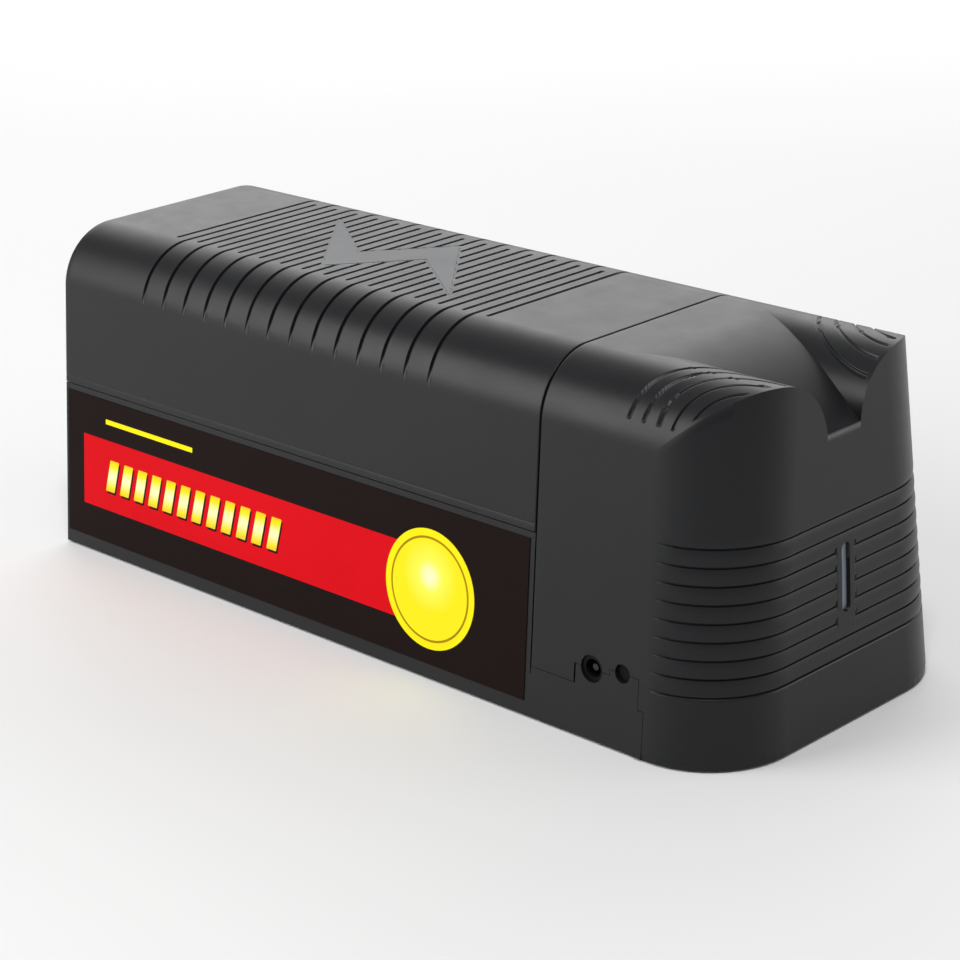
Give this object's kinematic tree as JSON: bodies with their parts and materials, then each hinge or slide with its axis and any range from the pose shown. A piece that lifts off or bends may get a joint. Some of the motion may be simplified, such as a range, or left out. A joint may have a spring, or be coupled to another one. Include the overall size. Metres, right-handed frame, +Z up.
{
  "type": "electronic rodent trap",
  "caption": "Long tunnel trap with a ribbed hinged lid, an arched entrance, shock plates and a rounded electronics head with a notched top.",
  "frame": {"origin": "middle of the footprint, on the surface that the rubber feet stand on", "axes": "+X along the length towards the electronics head, -Y the side with the sticker and the supply socket, +Z up"},
  "size_m": [0.2799, 0.1098, 0.104],
  "materials": {
    "case_plastic": "fine spark texture",
    "inlay_plastic": "matte",
    "inner_plastic": "matte",
    "label_film": "satin printed film",
    "plate_steel": "brushed",
    "screw_steel": "zinc plated",
    "cup_plastic": "satin",
    "magnet_metal": "nickel plated",
    "board_green": "solder mask",
    "glass_tube": "glass tube on a small board",
    "cell_wrap": "plain shrink wrap",
    "contact_brass": "bright",
    "core_ferrite": "ferrite and tape",
    "capacitor_sleeve": "sleeve",
    "chip_black": "moulded",
    "socket_nylon": "nylon",
    "lead_red": "soft vinyl",
    "lead_black": "soft vinyl",
    "led_clear": "clear",
    "lens_smoke": "frosted translucent",
    "foot_rubber": "matte"
  },
  "bodies": {
    "housing": {"tray": "case_plastic", "head_shell": "case_plastic", "head_base": "case_plastic", "bulkhead": "inner_plastic", "tray_baffles": "inner_plastic", "bait_holder": "inner_plastic", "battery_box": "inner_plastic", "label": "label_film", "entry_plate": "plate_steel", "middle_plate": "plate_steel", "rear_plate": "plate_steel", "plate_screws": "screw_steel", "board_screws": "screw_steel", "case_screws": "screw_steel", "hinge_pins": "screw_steel", "circuit_board": "board_green", "socket_board": "board_green", "indicator_board": "board_green", "reed_switch": "glass_tube", "battery_cells": "cell_wrap", "battery_contacts": "contact_brass", "jack_pin": "contact_brass", "transformer": "core_ferrite", "storage_capacitors": "capacitor_sleeve", "board_chips": "chip_black", "dc_jack": "chip_black", "button_switch": "chip_black", "lead_sockets": "socket_nylon", "plate_leads": "lead_red", "supply_leads": "lead_black", "indicator_leds": "led_clear", "indicator_lens": "lens_smoke", "rubber_feet": "foot_rubber"},
    "lid": {"lid": "case_plastic", "bolt_inlay": "inlay_plastic", "lid_baffles": "inner_plastic", "lid_magnet": "magnet_metal"},
    "bait_cup": {"bait_cup": "cup_plastic"},
    "battery_door": {"battery_door": "case_plastic"},
    "power_button": {"power_button": "chip_black"}
  },
  "joints": [
    {"name": "lid_hinge", "type": "hinge", "parent": "housing", "child": "lid", "pos_m": [0, 0.0516, 0.0545], "axis": [-1, 0, 0], "range_deg": [0, 100]},
    {"name": "bait_cup_lift", "type": "slide", "parent": "housing", "child": "bait_cup", "axis": [0, 0, 1], "range_m": [0, 0.02]},
    {"name": "battery_door_slide", "type": "slide", "parent": "housing", "child": "battery_door", "axis": [1, 0, 0], "range_m": [0, 0.005]},
    {"name": "power_button_press", "type": "slide", "parent": "housing", "child": "power_button", "axis": [0, 1, 0], "range_m": [0, 0.0006], "stiffness_N_per_m": 800}
  ]
}
